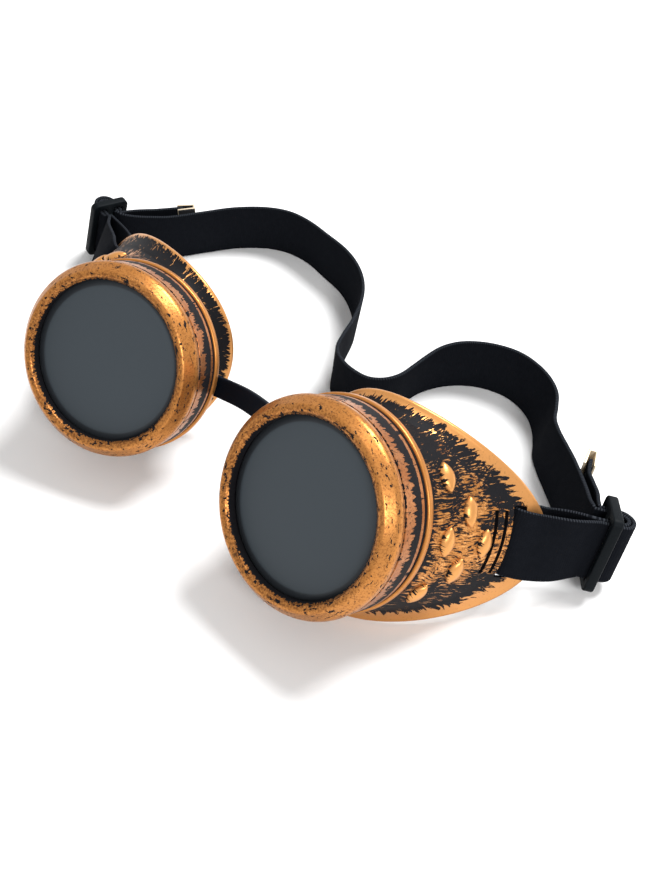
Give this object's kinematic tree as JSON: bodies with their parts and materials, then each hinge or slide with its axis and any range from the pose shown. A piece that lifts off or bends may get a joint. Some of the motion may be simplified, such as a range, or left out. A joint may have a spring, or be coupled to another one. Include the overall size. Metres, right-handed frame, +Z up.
{
  "type": "strap goggles",
  "caption": "Antique-copper screw-ring goggles with dark round lenses, flared side cups, a nose strip and an adjustable strap.",
  "frame": {"origin": "middle of the footprint, at the height of the surface that the goggles lie on", "axes": "+Z up, +X from the goggles' left cup to the right cup as seen from the front, -Y the way the lenses face"},
  "size_m": [0.2498, 0.1384, 0.065],
  "materials": {
    "copper_paint": "antique copper brushed over black",
    "dark_lens": "tinted grey",
    "gasket_rubber": "matte",
    "strip_rubber": "matte",
    "webbing": "matte ribbed",
    "slider_plastic": "satin",
    "clip_metal": "nickel"
  },
  "bodies": {
    "strap_body": {"nose_strip": "strip_rubber", "head_strap": "webbing"},
    "left_cup_body": {"left_cup": "copper_paint", "left_strap_loop": "webbing"},
    "left_lens_body": {"left_lens": "dark_lens", "left_gasket": "gasket_rubber"},
    "left_ring_body": {"left_lens_ring": "copper_paint"},
    "left_slider_body": {"left_slider": "slider_plastic", "left_strap_tail": "webbing", "left_end_clip": "clip_metal"},
    "right_cup_body": {"right_cup": "copper_paint", "right_strap_loop": "webbing"},
    "right_lens_body": {"right_lens": "dark_lens", "right_gasket": "gasket_rubber"},
    "right_ring_body": {"right_lens_ring": "copper_paint"},
    "right_slider_body": {"right_slider": "slider_plastic", "right_strap_tail": "webbing", "right_end_clip": "clip_metal"}
  },
  "joints": [
    {"name": "left_cup_flex", "type": "hinge", "parent": "strap_body", "child": "left_cup_body", "pos_m": [-0.00305, -0.02804, 0.02795], "axis": [-0.093, 0.5095, 0.8555], "range_deg": [-8, 8], "stiffness_Nm_per_rad": 0.2, "deforming": ["head_strap"]},
    {"name": "left_ring_feed", "type": "slide", "parent": "left_cup_body", "child": "left_lens_body", "axis": [0.3165, -0.7995, 0.5105], "range_m": [0, 0.0076]},
    {"name": "left_ring_turn", "type": "hinge", "parent": "left_lens_body", "child": "left_ring_body", "pos_m": [-0.01973, -0.05233, 0.0406], "axis": [0.3165, -0.7995, 0.5105], "range_deg": [0, 900]},
    {"name": "left_slider_shift", "type": "slide", "parent": "left_cup_body", "child": "left_slider_body", "axis": [-0.9477, 0.1659, 0.2726], "range_m": [-0.004, 0.0015], "deforming": ["left_strap_loop", "head_strap"]},
    {"name": "right_cup_flex", "type": "hinge", "parent": "strap_body", "child": "right_cup_body", "pos_m": [0.04059, -0.03159, 0.03423], "axis": [0.2289, 0.5145, 0.8264], "range_deg": [-8, 8], "stiffness_Nm_per_rad": 0.2, "deforming": ["head_strap"]},
    {"name": "right_ring_feed", "type": "slide", "parent": "right_cup_body", "child": "right_lens_body", "axis": [-0.0148, -0.847, 0.5314], "range_m": [0, 0.0076]},
    {"name": "right_ring_turn", "type": "hinge", "parent": "right_lens_body", "child": "right_ring_body", "pos_m": [0.06421, -0.05233, 0.0406], "axis": [-0.0148, -0.847, 0.5314], "range_deg": [0, 900]},
    {"name": "right_slider_shift", "type": "slide", "parent": "right_cup_body", "child": "right_slider_body", "axis": [0.801, 0.5692, -0.1855], "range_m": [-0.002, 0.0015], "deforming": ["right_strap_loop", "head_strap"]}
  ],
  "couplings": [
    {"joint": "left_ring_feed", "follows": "left_ring_turn", "m_per_rad": 0.00047746},
    {"joint": "right_ring_feed", "follows": "right_ring_turn", "m_per_rad": 0.00047746}
  ]
}
